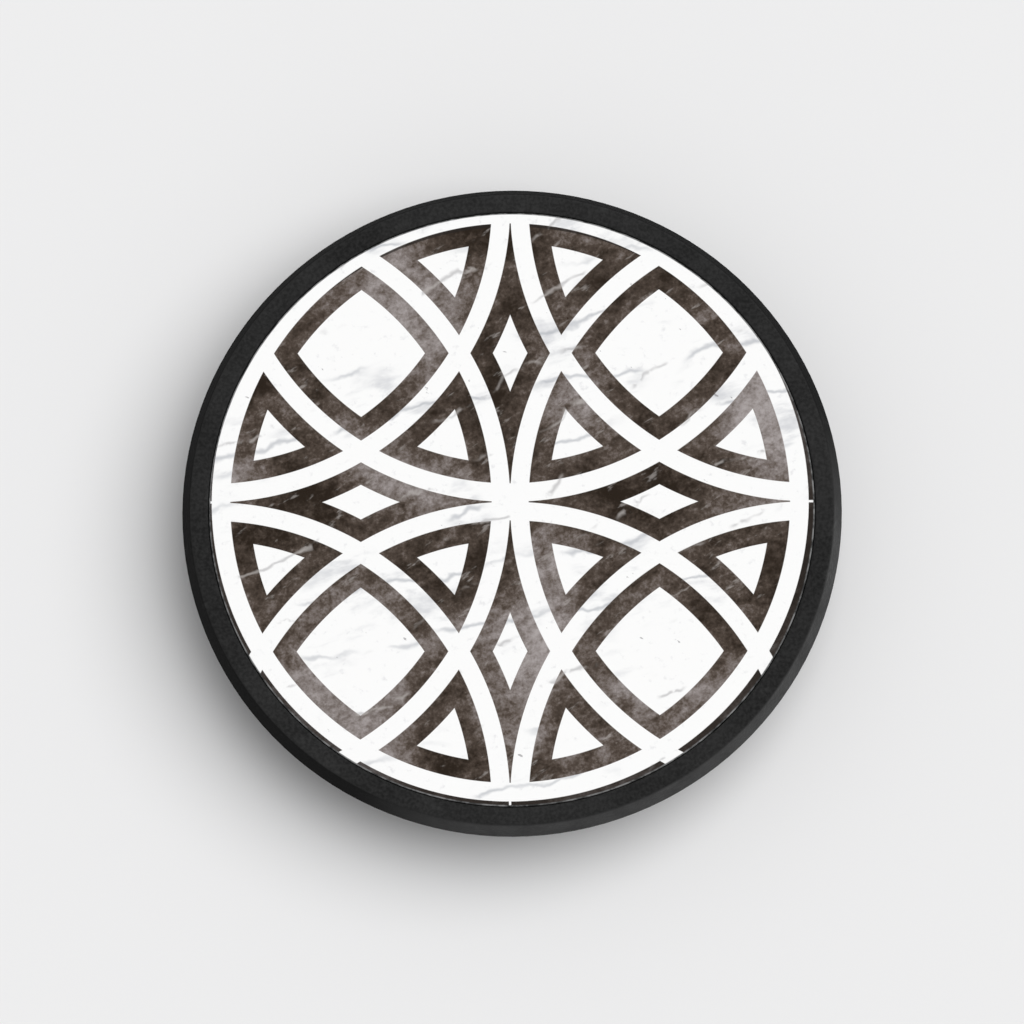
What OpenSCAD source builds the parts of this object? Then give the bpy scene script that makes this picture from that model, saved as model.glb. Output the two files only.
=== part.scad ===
// Collapsible phone grip, folded flat and lying on its adhesive face.
// The origin is the centre of the adhesive face. +Z is the way the grip pulls out,
// and +Y is the upper edge of the print.
// All sizes are in millimetres.

/* [Overall] */
// Widest diameter, across the edge of the top disc
grip_d = 39.7; // [33:0.1:50]
// How far the base plate's edge is set back from the top disc's edge
base_set_back = 0.85; // [0.6:0.05:1.5]

/* [Adhesive pad] */
// Thickness of the sticky pad
pad_t = 0.7; // [0.4:0.05:1.2]
// How far the pad's cut edge is set back from the base plate's edge
pad_set_back = 0.3; // [0.25:0.05:1.5]

/* [Base plate] */
// Thickness of the floor inside the snap collar
floor_t = 0.7; // [0.5:0.05:1.2]
// Height of the plate's upright outer edge
base_edge_h = 1.0; // [0.8:0.05:1.2]
// Height of the snap collar above the floor
collar_h = 1.25; // [1.2:0.05:1.6]
// How far the collar's outer slope runs in from the plate's edge
collar_slope_w = 0.6; // [0.4:0.05:0.7]
// Radial width of the collar's top, lip included
collar_w = 0.65; // [0.6:0.05:0.9]
// How far the collar's lip reaches in over the accordion's foot
lip_reach = 0.3; // [0.2:0.02:0.4]
// Thickness of the lip
lip_t = 0.45; // [0.3:0.05:0.6]

/* [Accordion] */
// Number of thin webs that snap over as the grip opens
web_count = 3; // [2:1:4]
// Height of one fold, between the middles of its two hinges
fold_rise = 3.0; // [2.4:0.1:4.5]
// Diameter of the innermost wall, at the middle of its thickness
neck_d = 16.0; // [14.5:0.1:20]
// Thickness of the stiff ring walls
wall_t = 0.72; // [0.6:0.02:0.9]
// Thickness of the thin webs between the walls
web_t = 0.34; // [0.25:0.01:0.45]
// How far the top of each wall leans in
wall_lean = 0.35; // [0:0.05:0.5]
// How far each hinge's round bead stands out from its wall
bead_proud = 0.06; // [0.03:0.01:0.12]

/* [Top disc] */
// Thickness of the roof between the accordion and the print disc
roof_t = 0.7; // [0.5:0.05:1.5]
// Flat width of the rim round the print disc
rim_w = 1.1; // [0.6:0.05:2]
// Width of the bevel outside the rim
bevel_w = 0.5; // [0.4:0.05:1]
// Height of the bevel, down to the widest line of the disc
bevel_h = 1.15; // [0.8:0.05:1.4]
// Height of the disc's edge, from its rim to the end of its skirt
skirt_h = 2.25; // [1.9:0.05:2.5]
// How far the skirt tapers in below the widest line, for the fingertips
skirt_taper = 0.55; // [0:0.05:0.7]

/* [Print disc] */
// Thickness of the printed sheet
print_t = 0.5; // [0.3:0.05:1]
// How far the sheet lies below the rim
print_sunk = 0.05; // [0:0.01:0.2]

/* [Turn lock] */
// Diameter of the post that carries the two lugs
post_d = 7.8; // [6:0.1:9.5]
// Wall of the hollow post
post_wall = 1.3; // [1:0.1:2]
// Height of the shoulder above the post
shoulder_h = 1.0; // [0.8:0.05:1.1]
// Thickness of the ledge that the lugs hook under
ledge_t = 0.9; // [0.7:0.05:1]
// Height of the lugs
lug_t = 1.0; // [0.7:0.05:1.05]
// Width of each lug, in degrees round the post
lug_angle = 46; // [36:2:50]
// Turn from locked to released, in degrees
turn_angle = 90; // [80:5:90]
// Wall of the insert between its groove and its bore
insert_wall = 0.85; // [0.7:0.05:1]
// Depth of the groove that holds the accordion's neck
groove_depth = 0.4; // [0.3:0.05:0.5]
// Height of the groove
groove_h = 0.8; // [0.6:0.05:0.9]
// Thickness of the insert's upper flange
flange_t = 0.5; // [0.4:0.05:0.6]
// How far the keyed notches cut into the insert's bore
notch_relief = 0.1; // [0.05:0.05:0.2]

/* [Keys] */
// Number of keys that stop the accordion's foot from turning in the collar
foot_keys = 6; // [3:1:12]
// Number of keys that stop the insert from turning in the accordion's neck
neck_keys = 4; // [2:1:8]
// Width of each key along its ring
key_w = 1.4; // [1:0.1:2]
// How far the foot's keys stand in from the collar's wall
foot_key_depth = 0.45; // [0.4:0.05:0.5]
// Thickness of the cross rib in the hollow post
post_rib_t = 0.8; // [0.6:0.1:1]

/* [Clearances] */
// Gap between a moulded piece and the one that it is snapped or bonded into
seat_gap = 0.05; // [0.03:0.01:0.08]
// Radial running gap of the post in its ledge
turn_gap = 0.1; // [0.05:0.01:0.1]
// Gap between the lugs and the surfaces that they pass
lug_gap = 0.15; // [0.1:0.01:0.2]
// Gap between the folded accordion and the floor under it
fold_gap = 0.05; // [0.03:0.01:0.1]
// Gap between the folded accordion and the roof over it
roof_gap = 0.1; // [0.08:0.01:0.3]
// Gap between the insert and the floor, the roof and the neck
insert_gap = 0.2; // [0.15:0.01:0.25]
// Radial gap between the accordion's outer wall and the rigid rings round it
wall_gap = 0.35; // [0.3:0.01:0.5]

/* [Hidden] */

// Roundings of the moulded edges
soft_edge = 0.25;
fine_edge = 0.1;
crisp_edge = 0.05;
bead_sides = 32;
round_sides = 128;
overlap = 0.2;

// Heights, from the adhesive face up
base_z = pad_t;
floor_z = base_z + floor_t;
collar_z = floor_z + collar_h;
lip_z = collar_z - lip_t;
bead_r = wall_t / 2 + bead_proud;
low_hinge_z = floor_z + fold_gap + bead_r;
high_hinge_z = low_hinge_z + fold_rise;
roof_z = high_hinge_z + bead_r + roof_gap;
recess_z = roof_z + roof_t;
rim_z = recess_z + print_t + print_sunk;
widest_z = rim_z - bevel_h;
skirt_z = rim_z - skirt_h;

// Radii, from the edge in
grip_r = grip_d / 2;
recess_r = grip_r - bevel_w - rim_w;
base_r = grip_r - base_set_back;
collar_r = base_r - collar_slope_w;
lip_r = collar_r - collar_w;
pocket_r = lip_r + lip_reach;
outer_wall_r = lip_r - wall_gap - wall_t / 2;
skirt_in_r = outer_wall_r + bead_r + wall_gap;
neck_r = neck_d / 2;
fold_pitch = (outer_wall_r - neck_r) / web_count;

// The lock in the neck
insert_r = neck_r - wall_lean - bead_r - insert_gap;
groove_r = insert_r - groove_depth;
insert_bore_r = groove_r - insert_wall;
post_r = post_d / 2;
ledge_bore_r = post_r + turn_gap;
lug_r = insert_bore_r - lug_gap;
insert_low_z = floor_z + insert_gap;
insert_top_z = roof_z - insert_gap;
groove_top_z = insert_top_z - flange_t;
groove_low_z = groove_top_z - groove_h;
shoulder_z = roof_z - shoulder_h;
ledge_top_z = shoulder_z - lug_gap;
ledge_low_z = ledge_top_z - ledge_t;
lug_top_z = ledge_low_z - lug_gap;
lug_low_z = lug_top_z - lug_t;
// Angles that stay free on each side of a lug, at its stop and in its notch
stop_play = 2;
notch_play = 1;
stop_angle = 180 - turn_angle - lug_angle - 2 * stop_play;
// The keys at the accordion's two ends
foot_key_r = pocket_r - foot_key_depth;
neck_key_r = insert_r - fine_edge;

// Straight steps that stand for the arc of a rounding
function arc_steps(r) = max(2, ceil(24 * r));

// Corner b of the path a, b, c as an arc of radius r, in points that turn from one side to the other
function rounded_corner(a, b, c, r) =
    let (
        u = (a - b) / norm(a - b),
        v = (c - b) / norm(c - b),
        half = acos(min(1, max(-1, u * v))) / 2,
        middle = b + (u + v) / norm(u + v) * r / sin(half),
        first = b + u * r / tan(half),
        last = b + v * r / tan(half),
        from = atan2(first.y - middle.y, first.x - middle.x),
        to = atan2(last.y - middle.y, last.x - middle.x),
        turn = to - from,
        sweep = turn > 180 ? turn - 360 : turn < -180 ? turn + 360 : turn,
        steps = arc_steps(r)
    )
    [for (i = [0:steps]) middle + r * [cos(from + sweep * i / steps), sin(from + sweep * i / steps)]];

// Outline through points [radius, height, rounding], with each rounding as an arc
function rounded_outline(points) =
    let (n = len(points), at = function (i) [points[(i + n) % n].x, points[(i + n) % n].y])
    [for (i = [0:n - 1]) each (points[i].z > 0 ? rounded_corner(at(i - 1), at(i), at(i + 1), points[i].z) : [at(i)])];

// A turned piece, from its half section
module turned(points) {
    rotate_extrude($fn = round_sides)
        polygon(rounded_outline(points));
}

// A ring between two heights that fills only an angle about a direction
module sector(in_r, out_r, low_z, high_z, angle, direction) {
    reach = 2 * out_r;
    rotate([0, 0, direction])
        intersection() {
            translate([0, 0, low_z])
                difference() {
                    cylinder(r = out_r, h = high_z - low_z, $fn = round_sides);
                    translate([0, 0, -overlap])
                        cylinder(r = in_r, h = high_z - low_z + 2 * overlap, $fn = round_sides);
                }
            translate([0, 0, low_z - overlap])
                linear_extrude(height = high_z - low_z + 2 * overlap)
                    polygon([
                        [0, 0],
                        [reach * cos(angle / 2), -reach * sin(angle / 2)],
                        [reach * cos(angle / 2), reach * sin(angle / 2)]
                    ]);
        }
}

// Blocks of one width, spaced evenly round a ring
module keys(count, width, in_r, out_r, low_z, high_z) {
    for (i = [0:count - 1])
        sector(in_r, out_r, low_z, high_z, 2 * asin(width / 2 / out_r), (i + 0.5) * 360 / count);
}

// A straight strip of the accordion's section, from one hinge to another
module strip(from, to, thickness) {
    along = (to - from) / norm(to - from);
    side = [-along.y, along.x] * thickness / 2;
    polygon([from - side, to - side, to + side, from + side]);
}

// Middle of the hinge at the foot or the head of one wall
function low_hinge(i) = [outer_wall_r - i * fold_pitch, low_hinge_z];
function high_hinge(i) = [outer_wall_r - i * fold_pitch - wall_lean, high_hinge_z];

// Die-cut disc of sticky foam under the base plate
module adhesive_pad() {
    color("#26272a")
        cylinder(r = base_r - pad_set_back, h = pad_t, $fn = round_sides);
}

// Stiff dish with a collar whose lip snaps over the accordion's foot, and keys under the lip
module base_plate() {
    color("#1d1e20")
        union() {
            turned([
                [0, base_z, 0],
                [base_r, base_z, soft_edge],
                [base_r, base_z + base_edge_h, soft_edge],
                [collar_r, collar_z, fine_edge],
                [lip_r, collar_z, fine_edge],
                [lip_r, lip_z, crisp_edge],
                [pocket_r, lip_z, 0],
                [pocket_r, floor_z, crisp_edge],
                [0, floor_z, 0]
            ]);
            keys(foot_keys, key_w, foot_key_r, pocket_r + overlap, floor_z - overlap, lip_z + overlap / 2);
        }
}

// Folded section of the accordion: stiff walls in one another, joined head to foot by thin webs
module accordion_section() {
    for (i = [0:web_count]) {
        strip(low_hinge(i), high_hinge(i), wall_t);
        translate(low_hinge(i)) circle(r = bead_r, $fn = bead_sides);
        translate(high_hinge(i)) circle(r = bead_r, $fn = bead_sides);
    }
    for (i = [0:web_count - 1])
        strip(high_hinge(i), low_hinge(i + 1), web_t);
    // Foot flange, under the base plate's lip
    foot_r = pocket_r - seat_gap;
    translate([outer_wall_r, floor_z])
        square([foot_r - outer_wall_r, lip_z - seat_gap - floor_z]);
    // Neck flange, in the insert's groove
    neck_flange_r = groove_r + seat_gap;
    translate([neck_flange_r, groove_low_z + seat_gap])
        square([neck_r - wall_lean - neck_flange_r, groove_h - 2 * seat_gap]);
}

// Soft one-piece accordion, notched for the keys at its foot and neck
module accordion() {
    notch_w = key_w + 2 * seat_gap;
    color("#151516")
        difference() {
            rotate_extrude($fn = round_sides)
                accordion_section();
            keys(foot_keys, notch_w, foot_key_r - seat_gap, pocket_r + overlap,
                floor_z - overlap, lip_z + overlap);
            keys(neck_keys, notch_w, groove_r, neck_key_r + seat_gap,
                groove_low_z - overlap, groove_top_z + seat_gap);
        }
}

// Stiff socket in the accordion's neck, with a keyed ledge and two stops for the lugs
module hub_insert() {
    color("#2b2c2f")
        difference() {
            union() {
                turned([
                    [ledge_bore_r, ledge_low_z, crisp_edge],
                    [insert_bore_r, ledge_low_z, 0],
                    [insert_bore_r, insert_low_z, crisp_edge],
                    [insert_r, insert_low_z, fine_edge],
                    [insert_r, groove_low_z, crisp_edge],
                    [groove_r, groove_low_z, 0],
                    [groove_r, groove_top_z, 0],
                    [insert_r, groove_top_z, crisp_edge],
                    [insert_r, insert_top_z, fine_edge],
                    [insert_bore_r, insert_top_z, fine_edge],
                    [insert_bore_r, ledge_top_z, 0],
                    [ledge_bore_r, ledge_top_z, crisp_edge]
                ]);
                keys(neck_keys, key_w, groove_r - overlap, neck_key_r,
                    groove_low_z - overlap, groove_top_z + overlap);
                for (side = [0, 180])
                    sector(ledge_bore_r + lug_gap, insert_bore_r + overlap, lug_low_z,
                        ledge_low_z + overlap, stop_angle, side + turn_angle + (180 - turn_angle) / 2);
            }
            for (side = [0, 180])
                sector(ledge_bore_r - overlap, insert_bore_r + notch_relief, ledge_low_z - overlap,
                    ledge_top_z + overlap, lug_angle + 2 * notch_play, side + turn_angle);
        }
}

// Moulded top with a bevelled edge, a recess for the print disc and a hollow post with two lugs
module top_disc() {
    core_r = post_r - post_wall;
    color("#232427")
        union() {
            turned([
                [0, recess_z, 0],
                [recess_r, recess_z, 0],
                [recess_r, rim_z, fine_edge],
                [grip_r - bevel_w, rim_z, soft_edge],
                [grip_r, widest_z, fine_edge],
                [grip_r - skirt_taper, skirt_z, soft_edge],
                [skirt_in_r, skirt_z, fine_edge],
                [skirt_in_r, roof_z, soft_edge],
                [insert_bore_r - lug_gap, roof_z, fine_edge],
                [insert_bore_r - lug_gap, shoulder_z, fine_edge],
                [post_r, shoulder_z, 0],
                [post_r, lug_low_z, fine_edge],
                [core_r, lug_low_z, fine_edge],
                [core_r, roof_z, soft_edge],
                [0, roof_z, 0]
            ]);
            for (side = [0, 180])
                sector(post_r - overlap, lug_r, lug_low_z, lug_top_z, lug_angle, side);
            // Cross rib in the post's core
            for (side = [0, 90])
                rotate([0, 0, side])
                    translate([-core_r - overlap, -post_rib_t / 2, lug_low_z + overlap])
                        cube([2 * (core_r + overlap), post_rib_t, roof_z - lug_low_z]);
        }
}

// Printed sheet bonded into the recess
module print_disc() {
    color("#e9e7e4")
        turned([
            [0, recess_z, 0],
            [recess_r - seat_gap, recess_z, 0],
            [recess_r - seat_gap, recess_z + print_t, crisp_edge],
            [0, recess_z + print_t, 0]
        ]);
}

adhesive_pad();
base_plate();
accordion();
hub_insert();
top_disc();
print_disc();
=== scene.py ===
"""Looks of the collapsible phone grip: its finishes, the soft accordion, a floor, light and the camera."""
import math

import bpy
from mathutils import Matrix, Vector


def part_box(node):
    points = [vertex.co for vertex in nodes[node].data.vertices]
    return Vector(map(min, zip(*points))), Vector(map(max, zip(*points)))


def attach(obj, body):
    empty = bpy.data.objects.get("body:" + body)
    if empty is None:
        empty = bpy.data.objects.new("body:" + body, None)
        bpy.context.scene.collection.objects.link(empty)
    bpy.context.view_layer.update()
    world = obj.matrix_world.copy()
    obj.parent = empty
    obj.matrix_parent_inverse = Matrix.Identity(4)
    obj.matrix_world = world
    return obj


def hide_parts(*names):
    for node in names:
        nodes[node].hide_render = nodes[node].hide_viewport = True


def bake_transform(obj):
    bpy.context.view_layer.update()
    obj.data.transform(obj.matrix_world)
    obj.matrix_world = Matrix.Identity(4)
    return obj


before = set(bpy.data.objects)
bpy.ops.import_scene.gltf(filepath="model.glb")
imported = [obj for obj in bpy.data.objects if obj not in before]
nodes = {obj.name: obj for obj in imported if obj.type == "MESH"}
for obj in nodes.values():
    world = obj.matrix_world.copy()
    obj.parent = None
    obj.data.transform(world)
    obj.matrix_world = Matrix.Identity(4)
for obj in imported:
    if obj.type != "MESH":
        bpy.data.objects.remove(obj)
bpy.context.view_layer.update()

MM = 0.001

# The printed sheet in millimetres. Circles on a square lattice cross over one ring with the lattice's step
LATTICE = 17.93
BAND_W = 1.114
FRAME_W = 1.19
PRINT_SHIFT = (-0.10, 0.40)
PRINT_STRETCH = 1.02
INK_EDGE = 0.018
TIP_W = 0.14
BARE_EDGE = 0.12
STRIP_W = 0.85

# Colours of the dark stone, from its depths to its veins
DEEP_BROWN = (0.0165, 0.0085, 0.0030)
BROWN = (0.092, 0.0665, 0.051)
TAUPE = (0.400, 0.362, 0.356)
FLECK = (0.42, 0.39, 0.37)
PALE_VEIN = (0.50, 0.47, 0.45)
STRIP_INK = (0.014, 0.010, 0.008)

# Colours of the white stone
WHITE = (0.970, 0.970, 0.966)
MOTTLE = (0.82, 0.82, 0.83)
CLOUD = (0.60, 0.61, 0.64)
THREAD = (0.40, 0.42, 0.46)
GREY_VEIN = (0.38, 0.37, 0.38)
SPECK = (0.18, 0.17, 0.18)

# Directions in degrees that the veins and streaks of both stones run in
MAIN_RUN, THREAD_RUN = 27.0, 12.0
DARK_STREAK, FLECK_STREAK = 32.0, 34.0
CLOUD_STREAK, SPECK_STREAK = 14.0, -30.0

# The black pieces
DUST = (0.20, 0.19, 0.18)
FOAM_TINT = (0.034, 0.034, 0.038)
LINER = (0.078, 0.078, 0.084)
FOAM_CELL = 0.14
FOAM_EDGE_Z = (0.01, 0.05)
BEVEL_W = 0.5
# The top disc's bevel has a painted highlight facing this plan direction, in the lighter grey, and painted
# shade elsewhere, in the darker grey
PAINTED_HIGHLIGHT_PLAN = math.radians(-50.0)
PAINTED_HIGHLIGHT_GREY = 0.036
PAINTED_SHADE_GREY = 0.006

# The accordion, with the sizes of its CAD node in millimetres
WALLS = 4
WALL_T = 0.72
WEB_T = 0.34
WALL_LEAN = 0.35
BEAD_R = 0.42
NECK_D = 16.0
FOLD_GAP = 0.05
SEAT_GAP = 0.05
LIP_REACH = 0.3
WALL_GAP = 0.35
FOOT_H = 0.75
FOOT_KEYS, FOOT_KEY_DEPTH = 6, 0.45
NECK_KEYS, NECK_KEY_DEPTH = 4, 0.30
NECK_FLANGE_IN_R = 6.68
NECK_FLANGE_Z = (3.94, 4.64)
NOTCH_W = 1.5
NOTCH_SIDE = 0.0004
SHARP_ANGLE = math.radians(38)
TURN_STEPS = 192
BEAD_STEPS = 14
WEB_STEPS = 28
BISECTIONS = 40
# The first and last web start to move this far beyond their still hinge, so that they open straight
WEB_LEAD = 0.3726

# The camera stands at the photograph's angle, and fills more of its frame with the grip
CAMERA_TILT = math.radians(11.6)
CAMERA_PLAN = math.radians(-87.0)
CAMERA_AWAY = 0.75
FRAME_ACROSS = 61.6 * MM
SENSOR = 36.0
CLIP_NEAR, CLIP_FAR = 0.05, 20.0
BEVEL_H = 1.15 * MM

# The light
KEY_PLAN = math.radians(20.0)
KEY_UP = math.radians(64.0)
KEY_WIDE = math.radians(60.0)
KEY_ON_FLOOR = 0.58
SKY_LEVEL = 0.44
BACKDROP_LEVEL = 0.84
CEILING_LEVEL = 0.30
BACKDROP_TOP, CEILING_FROM = 0.25, 0.80
BRIGHT_PLAN = math.radians(-45.0)
BRIGHT_GAIN, DIM_LOSS = 0.80, 0.30
FLOOR_COLOUR = (0.84, 0.84, 0.8442)
FLOOR_HOLE = 18.66 * MM
FLOOR_R = 4.0
FLOOR_DROP = 0.02 * MM


def feed(tree, socket, value):
    """Joins a socket to another, or sets it to a number or colour."""
    if isinstance(value, bpy.types.NodeSocket):
        tree.links.new(value, socket)
    elif isinstance(value, tuple) and socket.type == "RGBA":
        socket.default_value = (*value[:3], 1.0)
    else:
        socket.default_value = value


def grey(level):
    return (level, level, level)


class Finish:
    """One material and its nodes. Its patterns are laid out in millimetres in the row frame."""

    def __init__(self, name):
        self.material = bpy.data.materials.new(name)
        self.material.use_nodes = True
        self.tree = self.material.node_tree
        self.tree.nodes.clear()
        coordinates = self.add("ShaderNodeTexCoord").outputs["Object"]
        self.place = self.vector("SCALE", coordinates, Scale=1 / MM)

    def add(self, kind, settings=None, **inputs):
        node = self.tree.nodes.new(kind)
        for name, value in (settings or {}).items():
            setattr(node, name, value)
        for name, value in inputs.items():
            feed(self.tree, node.inputs[name.replace("_", " ")], value)
        return node

    def vector(self, operation, first, second=None, **inputs):
        node = self.add("ShaderNodeVectorMath", {"operation": operation}, **inputs)
        feed(self.tree, node.inputs[0], first)
        if second is not None:
            feed(self.tree, node.inputs[1], second)
        return node.outputs["Value" if operation in ("LENGTH", "DISTANCE", "DOT_PRODUCT") else "Vector"]

    def math(self, operation, *values):
        node = self.add("ShaderNodeMath", {"operation": operation})
        for socket, value in zip(node.inputs, values):
            feed(self.tree, socket, value)
        return node.outputs[0]

    def noise(self, size, detail=3.0, roughness=0.5, distortion=0.0, shift=(0.0, 0.0, 0.0), place=None):
        """Noise whose lumps are about size millimetres across, from 0 to 1. Its shift picks the pattern."""
        place = self.vector("ADD", place or self.place, shift)
        node = self.add("ShaderNodeTexNoise", Vector=place, Scale=1 / size, Detail=detail,
                        Roughness=roughness, Distortion=distortion)
        return node.outputs["Fac"]

    def streaks(self, degrees, stretch):
        """Places for a pattern that is drawn out stretch times along one direction."""
        node = self.add("ShaderNodeMapping", {"vector_type": "TEXTURE"}, Vector=self.place,
                        Rotation=(0.0, 0.0, math.radians(degrees)), Scale=(stretch, 1.0, 1.0))
        return node.outputs[0]

    def line(self, value, middle, width):
        """1 where value is near middle, falling smoothly to 0 at width from it."""
        off = self.math("ABSOLUTE", self.math("SUBTRACT", value, middle))
        return self.ramp(off, 0.0, width, 1.0, 0.0)

    def veins(self, degrees, spacing, width, wander, shift):
        """Thin lines about spacing millimetres apart. They run one way and wander from it."""
        turn = math.radians(degrees)
        normal = (-math.sin(turn) / spacing, math.cos(turn) / spacing, 0.0)
        across = self.vector("DOT_PRODUCT", self.place, normal)
        bent = self.math("MULTIPLY_ADD", self.noise(spacing * 1.5, 4.0, 0.56, 0.0, shift), wander, across)
        return self.line(self.math("FRACT", bent), 0.5, width / spacing)

    def blend(self, *parts):
        """Weighted sum of (weight, value) pairs."""
        total = 0.0
        for weight, value in parts:
            total = self.math("MULTIPLY_ADD", value, weight, total)
        return total

    def ramp(self, value, low, high, start=0.0, end=1.0):
        """A smooth step from start to end as value goes from low to high."""
        settings = {"interpolation_type": "SMOOTHSTEP"}
        node = self.add("ShaderNodeMapRange", settings, Value=value)
        for name, number in (("From Min", low), ("From Max", high), ("To Min", start), ("To Max", end)):
            feed(self.tree, node.inputs[name], number)
        return node.outputs["Result"]

    def mix(self, factor, first, second):
        node = self.add("ShaderNodeMix", {"data_type": "RGBA"})
        feed(self.tree, node.inputs[0], factor)
        feed(self.tree, node.inputs[6], first)
        feed(self.tree, node.inputs[7], second)
        return node.outputs[2]

    def bump(self, height, depth, strength=1.0, normal=None):
        """A relief that is depth millimetres high where height is 1."""
        node = self.add("ShaderNodeBump", Strength=strength, Distance=depth * MM, Height=height)
        if normal is not None:
            feed(self.tree, node.inputs["Normal"], normal)
        return node.outputs["Normal"]

    def surface(self, **inputs):
        shader = self.add("ShaderNodeBsdfPrincipled", **inputs)
        output = self.add("ShaderNodeOutputMaterial")
        self.tree.links.new(shader.outputs[0], output.inputs["Surface"])
        return self.material


def bevel_painted_light(f):
    """Masks for the bevel: painted shade, which comes with a rougher finish, where it faces away from the
    lower right, and a patchy painted highlight, which comes with a smoother finish, at the lower right.
    """
    flat = f.vector("MULTIPLY", f.place, (1.0, 1.0, 0.0))
    out = f.vector("LENGTH", flat)
    toward = f.vector("DOT_PRODUCT", flat, (math.cos(PAINTED_HIGHLIGHT_PLAN), math.sin(PAINTED_HIGHLIGHT_PLAN), 0.0))
    toward = f.math("DIVIDE", toward, out)
    bevel_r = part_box("top_disc")[1].x / MM - BEVEL_W
    edge = f.ramp(out, bevel_r - 0.04, bevel_r + 0.06)
    # Painted shade on the bevel where it faces away from the lower right
    painted_shade_and_matt = f.math("MULTIPLY", f.ramp(toward, 0.70, 0.30), edge)
    patchy = f.ramp(f.noise(1.8, 4.0, 0.6, 0.3, (6.0, 1.0, 2.0)), 0.34, 0.60, 0.62, 1.0)
    # Patchy painted highlight on the bevel at the lower right
    painted_bevel_light = f.math("MULTIPLY", f.math("MULTIPLY", f.ramp(toward, 0.35, 0.80), edge), patchy)
    return painted_shade_and_matt, painted_bevel_light


def moulded_black(name, dark, light, dull, painted_bevel_light=False):
    """Satin moulded plastic: a fine spark-eroded grain, faint clouds in its polish and a few soft rubs."""
    f = Finish(name)
    grain = f.ramp(f.noise(0.20, 3.0, 0.60), 0.30, 0.70)
    cloud = f.ramp(f.noise(5.0, 4.0, 0.55, 0.4), 0.32, 0.68)
    rub = f.ramp(f.noise(1.1, 4.0, 0.6, 0.6, (7.0, 3.0, 1.0)), 0.58, 0.72)
    colour = f.mix(f.blend((0.62, grain), (0.38, cloud)), grey(dark), grey(light))
    colour = f.mix(f.math("MULTIPLY", rub, 0.25), colour, grey(light * 1.5))
    roughness = f.math("MULTIPLY_ADD", cloud, 0.12, f.math("MULTIPLY_ADD", grain, 0.10, dull - 0.11))
    roughness = f.math("MULTIPLY_ADD", rub, -0.12, roughness)
    # Painted shade darkens the bevel away from the lower right and a painted highlight lightens it at the
    # lower right; the finish is rougher under the shade and smoother under the highlight
    if painted_bevel_light:
        painted_shade_and_matt, painted_highlight_and_gloss = bevel_painted_light(f)
        colour = f.mix(painted_shade_and_matt, colour, grey(PAINTED_SHADE_GREY))
        colour = f.mix(painted_highlight_and_gloss, colour, grey(PAINTED_HIGHLIGHT_GREY))
        roughness = f.math("MULTIPLY_ADD", painted_shade_and_matt, 0.30, roughness)
        roughness = f.math("MULTIPLY_ADD", painted_highlight_and_gloss, -0.22, roughness)
    normal = f.bump(grain, 0.012, 0.9)
    return f.surface(Base_Color=colour, Roughness=roughness, Normal=normal, Specular_IOR_Level=0.18)


def soft_elastomer(name):
    """Soft dull elastomer of the accordion: a fine grain, flow marks that run level and a little dust."""
    f = Finish(name)
    grain = f.ramp(f.noise(0.16, 3.0, 0.6), 0.30, 0.70)
    flow = f.noise(2.0, 4.0, 0.55, 0.5, place=f.vector("MULTIPLY", f.place, (0.35, 0.35, 1.0)))
    flow = f.ramp(flow, 0.32, 0.68)
    dust = f.ramp(f.noise(0.30, 2.0, 0.5, 0.0, (3.0, 9.0, 5.0)), 0.68, 0.80)
    colour = f.mix(flow, grey(0.007), grey(0.021))
    colour = f.mix(f.math("MULTIPLY", grain, 0.40), colour, grey(0.028))
    colour = f.mix(f.math("MULTIPLY", dust, 0.18), colour, DUST)
    roughness = f.math("MULTIPLY_ADD", flow, 0.16, f.math("MULTIPLY_ADD", grain, 0.10, 0.48))
    normal = f.bump(flow, 0.020, 0.6, f.bump(grain, 0.010, 0.9))
    return f.surface(Base_Color=colour, Roughness=roughness, Normal=normal, Sheen_Weight=0.12,
                     Sheen_Roughness=0.5, Specular_IOR_Level=0.4)


def foam_pad(name):
    """Closed-cell foam tape: small cells on its cut edge, and a cloudy tacky film under it."""
    f = Finish(name)
    cells = f.add("ShaderNodeTexVoronoi", {"feature": "F1"}, Vector=f.place, Scale=1 / FOAM_CELL)
    cell = f.ramp(cells.outputs["Distance"], 0.05, 0.75)
    spread = f.noise(3.5, 3.0, 0.55, 0.4)
    height = f.add("ShaderNodeSeparateXYZ", Vector=f.place).outputs["Z"]
    foam = f.ramp(height, *FOAM_EDGE_Z)
    colour = f.mix(cell, grey(0.030), grey(0.014))
    colour = f.mix(f.math("MULTIPLY", spread, 0.5), colour, FOAM_TINT)
    drift = f.noise(3.0, 5.0, 0.55, 0.3, (4.0, 2.0, 7.0), f.streaks(20.0, 2.4))
    liner = f.math("MULTIPLY", f.ramp(drift, 0.34, 0.70), f.math("SUBTRACT", 1.0, foam))
    colour = f.mix(f.math("MULTIPLY", liner, 0.34), colour, LINER)
    roughness = f.math("MULTIPLY_ADD", foam, 0.34, f.math("MULTIPLY_ADD", liner, 0.14, 0.30))
    film = f.bump(spread, 0.03, 0.5)
    relief = f.math("MULTIPLY", cell, f.ramp(height, *FOAM_EDGE_Z, 0.4, 1.0))
    normal = f.bump(relief, 0.03, 0.8, film)
    return f.surface(Base_Color=colour, Roughness=roughness, Normal=normal, Specular_IOR_Level=0.45)


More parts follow.
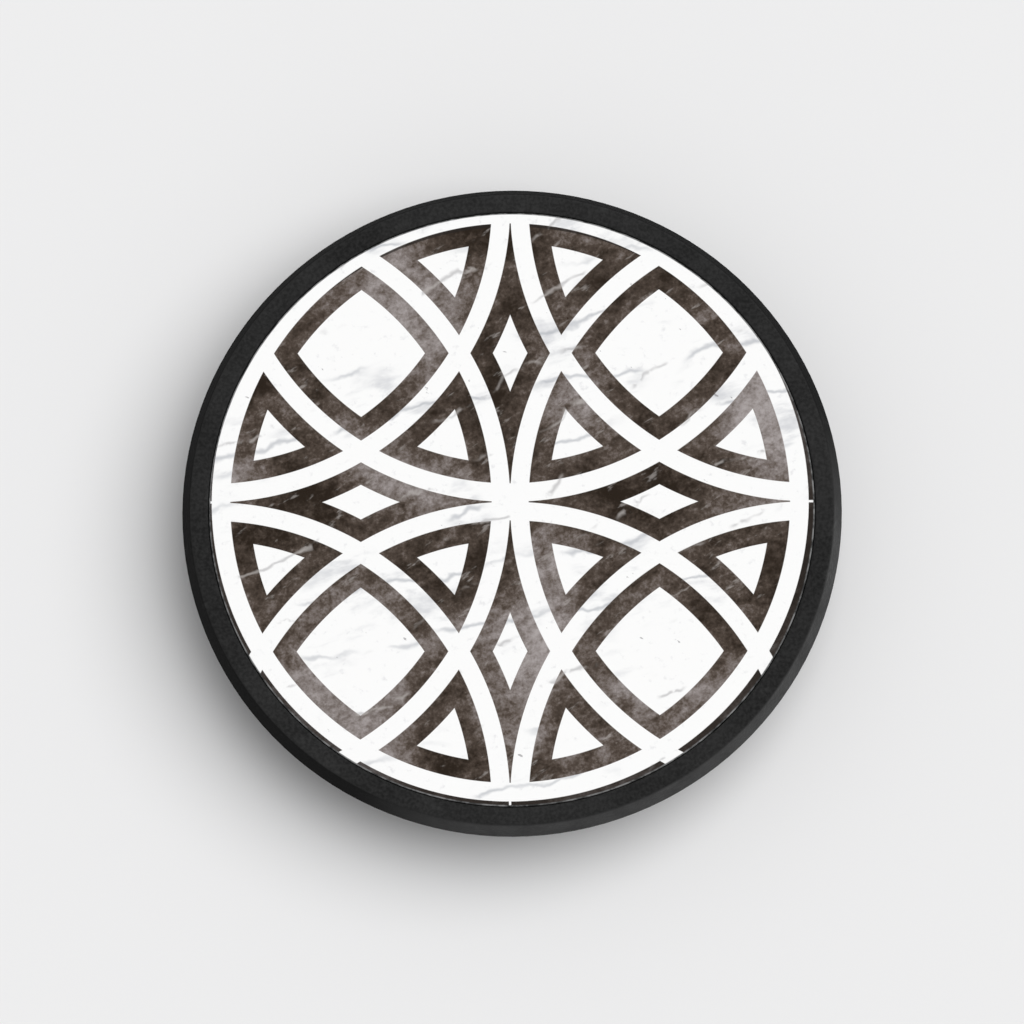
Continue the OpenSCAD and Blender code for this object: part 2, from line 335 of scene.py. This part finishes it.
def lattice_distance(f):
    """Distance in millimetres from the middle of the nearest white band of the print."""
    split = f.add("ShaderNodeSeparateXYZ", Vector=f.place)
    across = f.math("ABSOLUTE", f.math("SUBTRACT", split.outputs["X"], PRINT_SHIFT[0]))
    along = f.math("SUBTRACT", split.outputs["Y"], PRINT_SHIFT[1])
    along = f.math("ABSOLUTE", f.math("DIVIDE", along, PRINT_STRETCH))
    # The mirrored quarter needs only the four circles round it
    quarter = f.add("ShaderNodeCombineXYZ", X=across, Y=along, Z=0.0).outputs[0]
    outside = f.math("GREATER_THAN", f.vector("LENGTH", quarter), LATTICE)
    nearest = None
    for column, row in ((0, 0), (1, 0), (0, 1), (1, 1)):
        away = f.vector("DISTANCE", quarter, (column * LATTICE, row * LATTICE, 0.0))
        gap = f.math("ABSOLUTE", f.math("SUBTRACT", away, LATTICE - BAND_W / 2))
        if column and row:
            # The corner circles stop at the ring
            gap = f.math("MULTIPLY_ADD", outside, BAND_W, gap)
        nearest = gap if nearest is None else f.math("MINIMUM", nearest, gap)
    # Outside the ring, a hairline on each axis parts the dark frames
    tip = f.math("ADD", f.math("MINIMUM", across, along), (BAND_W - TIP_W) / 2)
    tip = f.math("MULTIPLY_ADD", f.math("SUBTRACT", 1.0, outside), LATTICE, tip)
    return f.math("MINIMUM", nearest, tip)


def dark_stone(f, vein):
    """Dark brown stone: streaked, with broad greyer fields, fine pale flecks and broken pale veins."""
    field = f.noise(8.0, 2.0, 0.5, 0.3, (12.0, -3.0, 4.0))
    streak = f.noise(1.2, 5.0, 0.66, 0.5, (31.0, 4.0, 2.0), f.streaks(DARK_STREAK, 2.2))
    speck = f.noise(0.40, 3.0, 0.62, 0.0, (5.0, 17.0, 2.0))
    fleck = f.ramp(f.noise(0.45, 3.0, 0.6, 0.0, (8.0, 2.0, 5.0), f.streaks(FLECK_STREAK, 3.2)), 0.62, 0.74)
    grain = f.noise(0.16, 2.0, 0.6, 0.0, (1.0, 8.0, 6.0))
    tone = f.blend((0.47, field), (0.22, streak), (0.20, speck), (0.11, grain))
    colour = f.mix(f.ramp(tone, 0.378, 0.528), DEEP_BROWN, BROWN)
    colour = f.mix(f.ramp(tone, 0.464, 0.662), colour, TAUPE)
    colour = f.mix(f.math("MULTIPLY", fleck, 0.46), colour, FLECK)
    return f.mix(f.math("MULTIPLY", vein, 0.55), colour, PALE_VEIN)


def white_stone(f, vein):
    """White stone: barely mottled, with faint grey clouds beside a few thin veins, and some dark specks."""
    mottle = f.noise(0.60, 4.0, 0.6, 0.0, (2.0, 6.0, 3.0))
    here = f.ramp(f.noise(5.5, 2.0, 0.5, 0.0, (15.0, 6.0, 8.0)), 0.48, 0.60)
    drift = f.noise(1.7, 4.0, 0.6, 0.2, (1.0, 2.0, 9.0), f.streaks(CLOUD_STREAK, 2.6))
    cloud = f.math("MULTIPLY", f.ramp(drift, 0.50, 0.72), here)
    thread = f.math("MULTIPLY", f.veins(THREAD_RUN, 3.4, 0.22, 0.9, (-6.0, 14.0, 1.0)), here)
    chips = f.noise(0.55, 3.0, 0.6, 0.0, (-8.0, 16.0, 3.0), f.streaks(SPECK_STREAK, 1.8))
    speck = f.ramp(chips, 0.722, 0.765)
    colour = f.mix(f.ramp(mottle, 0.42, 0.24), WHITE, MOTTLE)
    colour = f.mix(f.math("MULTIPLY", cloud, 0.80), colour, CLOUD)
    colour = f.mix(f.math("MULTIPLY", thread, 0.62), colour, THREAD)
    colour = f.mix(f.math("MULTIPLY", vein, 0.60), colour, GREY_VEIN)
    return f.mix(f.math("MULTIPLY", speck, 0.62), colour, SPECK)


def printed_sheet(name):
    """Glossy printed sheet: white bands and islands, each island in a dark frame."""
    f = Finish(name)
    gap = lattice_distance(f)
    half = BAND_W / 2
    off_band = f.ramp(gap, half - INK_EDGE, half + INK_EDGE)
    on_island = f.ramp(gap, half + FRAME_W - INK_EDGE, half + FRAME_W + INK_EDGE)
    dark = f.math("SUBTRACT", off_band, on_island)
    # One run of veins crosses both stones, broken into short pieces
    broken = f.math("MULTIPLY", f.ramp(f.noise(3.4, 2.0, 0.5, 0.0, (9.0, 1.0, 3.0)), 0.52, 0.62),
                    f.ramp(f.noise(0.8, 2.0, 0.5, 0.0, (4.0, 5.0, 6.0)), 0.38, 0.52))
    vein = f.math("MULTIPLY", f.veins(MAIN_RUN, 3.6, 0.19, 1.0, (3.0, 7.0, 2.0)), broken)
    colour = f.mix(dark, white_stone(f, vein), dark_stone(f, vein))
    # The dark print is denser in the strip beyond the ring, and the cut edge shows the sheet's pale core
    out = f.vector("LENGTH", f.vector("MULTIPLY", f.place, (1.0, 1.0, 0.0)))
    edge_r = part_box("print_disc")[1].x / MM
    strip = f.math("MULTIPLY", f.math("GREATER_THAN", out, edge_r - STRIP_W), dark)
    colour = f.mix(f.math("MULTIPLY", strip, 0.80), colour, STRIP_INK)
    bare = f.ramp(out, edge_r - BARE_EDGE, edge_r - BARE_EDGE / 2)
    core = f.mix(f.ramp(f.noise(0.7, 3.0, 0.6), 0.36, 0.64), grey(0.03), grey(0.22))
    colour = f.mix(bare, colour, core)
    polish = f.noise(1.2, 3.0, 0.5)
    roughness = f.math("MULTIPLY_ADD", polish, 0.08, f.math("MULTIPLY_ADD", dark, 0.05, 0.20))
    normal = f.bump(polish, 0.004, 0.5)
    return f.surface(Base_Color=colour, Roughness=roughness, Normal=normal, Specular_IOR_Level=0.5)


def assign(obj, material):
    for slot in obj.material_slots:
        slot.material = material
    if not obj.material_slots:
        obj.data.materials.append(material)


def even_angles():
    return [2 * math.pi * n / TURN_STEPS for n in range(TURN_STEPS)]


def turned(name, section_at, angles):
    """Closed turned piece. section_at gives its half section at an angle: (radius, height) in millimetres."""
    rings = [
        [(r * math.cos(a) * MM, r * math.sin(a) * MM, z * MM) for r, z in section_at(a)]
        for a in angles
    ]
    count, points = len(angles), len(rings[0])
    faces = [
        (i * points + k, j * points + k, j * points + (k + 1) % points, i * points + (k + 1) % points)
        for i, j in ((n, (n + 1) % count) for n in range(count))
        for k in range(points)
    ]
    mesh = bpy.data.meshes.new(name)
    mesh.from_pydata([p for ring in rings for p in ring], [], faces)
    mesh.shade_smooth()
    mesh.set_sharp_from_angle(angle=SHARP_ANGLE)
    obj = bpy.data.objects.new(name, mesh)
    bpy.context.scene.collection.objects.link(obj)
    return obj


def arc(centre, radius, start, end, steps):
    turns = (start + (end - start) * n / steps for n in range(steps + 1))
    return [(centre[0] + radius * math.cos(t), centre[1] + radius * math.sin(t)) for t in turns]


class Accordion:
    """The soft accordion: stiff ring walls in one another, joined by thin webs that snap over."""

    def __init__(self, material):
        self.material = material
        low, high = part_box("accordion")
        self.foot_z, self.foot_r = low.z / MM, high.x / MM
        self.low_z = self.foot_z + FOLD_GAP + BEAD_R
        self.high_z = high.z / MM - BEAD_R
        self.rise = self.high_z - self.low_z
        self.outer_r = self.foot_r + SEAT_GAP - LIP_REACH - WALL_GAP - WALL_T / 2
        self.pitch = (self.outer_r - NECK_D / 2) / (WALLS - 1)
        self.travel = 2 * self.rise * (WALLS - 1)

    def hinges(self, index):
        """The hinges at the foot and the head of a wall, in its half section."""
        r = self.outer_r - index * self.pitch
        return (r, self.low_z), (r - WALL_LEAN, self.high_z)

    def wall_section(self, index, foot_r, neck_r):
        """A wall with a round bead at each hinge, and the flange that the first or last wall carries."""
        low, high = self.hinges(index)
        lean = math.atan2(self.rise, -WALL_LEAN)
        meet = math.asin(WALL_T / 2 / BEAD_R)

        def side(z, way):
            """Radius of the wall's outer or inner side at a height."""
            return low[0] - WALL_LEAN * (z - low[1]) / self.rise + way * WALL_T / 2 / math.sin(lean)

        if foot_r:
            top = self.foot_z + FOOT_H
            foot = arc(low, BEAD_R, lean + meet, 1.5 * math.pi, BEAD_STEPS)
            foot += [(low[0], self.foot_z), (foot_r, self.foot_z), (foot_r, top), (side(top, 1), top)]
        else:
            foot = arc(low, BEAD_R, lean + meet, lean + 2 * math.pi - meet, BEAD_STEPS)
        if neck_r:
            under, over = NECK_FLANGE_Z
            to = math.pi + math.asin((high[1] - over) / BEAD_R)
            head = arc(high, BEAD_R, lean - math.pi + meet, to, BEAD_STEPS)
            head += [(neck_r, over), (neck_r, under), (side(under, -1), under)]
        else:
            head = arc(high, BEAD_R, lean - math.pi + meet, lean + math.pi - meet, BEAD_STEPS)
        return foot + head

    def add_wall(self, index):
        """The first wall rides with the base and takes none of the travel, and the last rides with the hub
        and takes all of it. The walls between have their place baked into their mesh.
        """
        last = WALLS - 1
        keys, edge_r, notch_r = 0, 0.0, 0.0
        if index == 0:
            keys, edge_r, notch_r = FOOT_KEYS, self.foot_r, self.foot_r - FOOT_KEY_DEPTH
        elif index == last:
            keys, edge_r, notch_r = NECK_KEYS, NECK_FLANGE_IN_R, NECK_FLANGE_IN_R + NECK_KEY_DEPTH
        middles = [2 * math.pi * (n + 0.5) / keys for n in range(keys)]
        reach = math.asin(NOTCH_W / 2 / edge_r) if keys else 0.0
        corners = [
            m + way * (reach + step)
            for m in middles for way in (-1, 1) for step in (-NOTCH_SIDE, NOTCH_SIDE)
        ]
        clear = [a for a in even_angles() if all(abs(a - c) > 4 * NOTCH_SIDE for c in corners)]

        def section_at(angle):
            r = notch_r if any(abs(angle - m) < reach for m in middles) else edge_r
            return self.wall_section(index, r if index == 0 else 0.0, r if index == last else 0.0)

        wall = turned(f"accordion_wall_{index + 1}", section_at, sorted(clear + corners))
        self.finish(wall)
        if index == 0:
            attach(wall, "base")
        elif index == last:
            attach(wall, "hub")
        else:
            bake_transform(wall)

    @staticmethod
    def turn_for(share):
        """How far along a blend a point moves with this share of the hub's travel."""
        return 0.5 - math.sin(math.asin(1 - 2 * share) / 3)

    def folded(self, height, start, end):
        """Folded height of the point that a web has at this height when it is open."""
        span = start - end
        near = 0.5 - math.sqrt(0.25 - span / (6 * self.travel))
        far = 1 - near
        for _ in range(BISECTIONS):
            middle = (near + far) / 2
            if start - span * middle + self.travel * middle ** 2 * (3 - 2 * middle) < height:
                near = middle
            else:
                far = middle
        return start - span * near

    def add_web(self, index):
        """A web is straight when open. Its folded shape follows from the way that the blend moves it."""
        last = WALLS - 2
        head, foot = self.hinges(index)[1], self.hinges(index + 1)[0]
        before, after = self.turn_for(index / (WALLS - 1)), self.turn_for((index + 1) / (WALLS - 1))
        above = self.high_z + (WEB_LEAD if index == 0 else 0.0)
        below = self.low_z - (WEB_LEAD if index == last else 0.0)
        span = (above - below) / (after - before)
        start, end = above + span * before, below - span * (1 - after)
        lift = 2 * self.rise * index
        rise, run = self.rise, foot[0] - head[0]
        length = math.hypot(rise, run)
        across, up = -rise / length * WEB_T / 2, run / length * WEB_T / 2

        def side(way):
            shares = (n / WEB_STEPS for n in range(WEB_STEPS + 1))
            points = [(head[0] + run * u + way * across, head[1] + rise * u + way * up) for u in shares]
            return [(r, self.folded(z + lift, start, end)) for r, z in points]

        section = side(1) + side(-1)[::-1]
        web = turned(f"accordion_web_{index + 1}", lambda angle: section, even_angles())
        self.finish(web)
        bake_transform(web)

    def finish(self, piece):
        piece.data.materials.append(self.material)
        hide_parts("accordion")

    def build(self):
        for index in range(WALLS):
            self.add_wall(index)
        for index in range(WALLS - 1):
            self.add_web(index)


def add_floor():
    """Plain pale floor, open under the grip so that its sticky face can be seen from below."""
    f = Finish("floor")
    tree = f.tree
    diffuse = f.add("ShaderNodeBsdfDiffuse", Color=FLOOR_COLOUR)
    clear = f.add("ShaderNodeBsdfTransparent")
    below = f.math("MULTIPLY", f.add("ShaderNodeNewGeometry").outputs["Backfacing"],
                   f.add("ShaderNodeLightPath").outputs["Is Camera Ray"])
    mixed = f.add("ShaderNodeMixShader", Fac=below)
    tree.links.new(diffuse.outputs[0], mixed.inputs[1])
    tree.links.new(clear.outputs[0], mixed.inputs[2])
    tree.links.new(mixed.outputs[0], f.add("ShaderNodeOutputMaterial").inputs["Surface"])
    angles = even_angles()
    verts = [(r * math.cos(a), r * math.sin(a), -FLOOR_DROP) for r in (FLOOR_HOLE, FLOOR_R) for a in angles]
    n = len(angles)
    faces = [(k, n + k, n + (k + 1) % n, (k + 1) % n) for k in range(n)]
    mesh = bpy.data.meshes.new("floor")
    mesh.from_pydata(verts, [], faces)
    mesh.materials.append(f.material)
    floor = bpy.data.objects.new("floor", mesh)
    bpy.context.scene.collection.objects.link(floor)


def add_sky():
    """Even pale light from all round. Seen directly or reflected, it is a pale backdrop under a dim ceiling.

    Gloss sees two opposite sides of the backdrop brighter, which shows the shape of black curves.
    """
    world = bpy.data.worlds.new("sky")
    world.use_nodes = True
    tree = world.node_tree

    def math_node(operation, *values):
        node = tree.nodes.new("ShaderNodeMath")
        node.operation = operation
        for socket, value in zip(node.inputs, values):
            feed(tree, socket, value)
        return node.outputs[0]

    path = tree.nodes.new("ShaderNodeLightPath")
    seen = math_node("MAXIMUM", path.outputs["Is Camera Ray"], path.outputs["Is Glossy Ray"])
    seen = math_node("MAXIMUM", seen, path.outputs["Is Transmission Ray"])
    split = tree.nodes.new("ShaderNodeSeparateXYZ")
    feed(tree, split.inputs[0], tree.nodes.new("ShaderNodeTexCoord").outputs["Generated"])
    height = tree.nodes.new("ShaderNodeMapRange")
    height.interpolation_type = "SMOOTHSTEP"
    levels = (split.outputs["Z"], BACKDROP_TOP, CEILING_FROM, BACKDROP_LEVEL, CEILING_LEVEL)
    for socket, value in zip(height.inputs, levels):
        feed(tree, socket, value)
    toward = math_node("MULTIPLY_ADD", split.outputs["Y"], math.sin(BRIGHT_PLAN),
                       math_node("MULTIPLY", split.outputs["X"], math.cos(BRIGHT_PLAN)))
    uneven = math_node("MULTIPLY_ADD", math_node("MULTIPLY", toward, toward), BRIGHT_GAIN, -DIM_LOSS)
    uneven = math_node("MULTIPLY_ADD", uneven, path.outputs["Is Glossy Ray"], 1.0)
    level = math_node("MULTIPLY", height.outputs[0], uneven)
    over = math_node("MULTIPLY", seen, math_node("SUBTRACT", level, SKY_LEVEL))
    background = tree.nodes["Background"]
    background.inputs["Color"].default_value = (1.0, 1.0, 1.0, 1.0)
    feed(tree, background.inputs["Strength"], math_node("ADD", over, SKY_LEVEL))
    bpy.context.scene.world = world


def add_key():
    """Wide soft key light from the right. Gloss doesn't show it."""
    lamp = bpy.data.lights.new("key", "SUN")
    lamp.angle = KEY_WIDE
    lamp.energy = KEY_ON_FLOOR * math.pi / math.sin(KEY_UP)
    key = bpy.data.objects.new("key", lamp)
    toward = Vector((math.cos(KEY_PLAN) * math.cos(KEY_UP), math.sin(KEY_PLAN) * math.cos(KEY_UP),
                     math.sin(KEY_UP)))
    key.rotation_mode = "QUATERNION"
    key.rotation_quaternion = toward.to_track_quat("Z", "Y")
    key.visible_glossy = False
    bpy.context.scene.collection.objects.link(key)


def add_camera():
    """Long lens over the grip, tilted as in the photograph, with the print's upper edge upwards."""
    data = bpy.data.cameras.new("camera")
    data.sensor_width = SENSOR
    data.lens = SENSOR * CAMERA_AWAY / FRAME_ACROSS
    data.clip_start, data.clip_end = CLIP_NEAR, CLIP_FAR
    camera = bpy.data.objects.new("camera", data)
    back = Vector((math.cos(CAMERA_PLAN) * math.sin(CAMERA_TILT),
                   math.sin(CAMERA_PLAN) * math.sin(CAMERA_TILT), math.cos(CAMERA_TILT)))
    right = Vector((0.0, 1.0, 0.0)).cross(back).normalized()
    up = back.cross(right)
    target = Vector((0.0, 0.0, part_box("top_disc")[1].z - BEVEL_H))
    at = target + back * CAMERA_AWAY
    camera.matrix_world = Matrix((
        (right.x, up.x, back.x, at.x),
        (right.y, up.y, back.y, at.y),
        (right.z, up.z, back.z, at.z),
        (0.0, 0.0, 0.0, 1.0),
    ))
    bpy.context.scene.collection.objects.link(camera)
    bpy.context.scene.camera = camera


add_camera()
add_sky()
add_key()
add_floor()
bpy.context.scene.view_settings.view_transform = "Standard"

# The top disc's bevel gets painted shade, and a painted highlight at its lower right
assign(nodes["top_disc"], moulded_black("satin_black", dark=0.009, light=0.030, dull=0.74, painted_bevel_light=True))
assign(nodes["base_plate"], moulded_black("base_black", dark=0.010, light=0.024, dull=0.50))
assign(nodes["hub_insert"], moulded_black("insert_black", dark=0.014, light=0.032, dull=0.36))
assign(nodes["adhesive_pad"], foam_pad("foam"))
assign(nodes["print_disc"], printed_sheet("printed_sheet"))
Accordion(soft_elastomer("elastomer")).build()
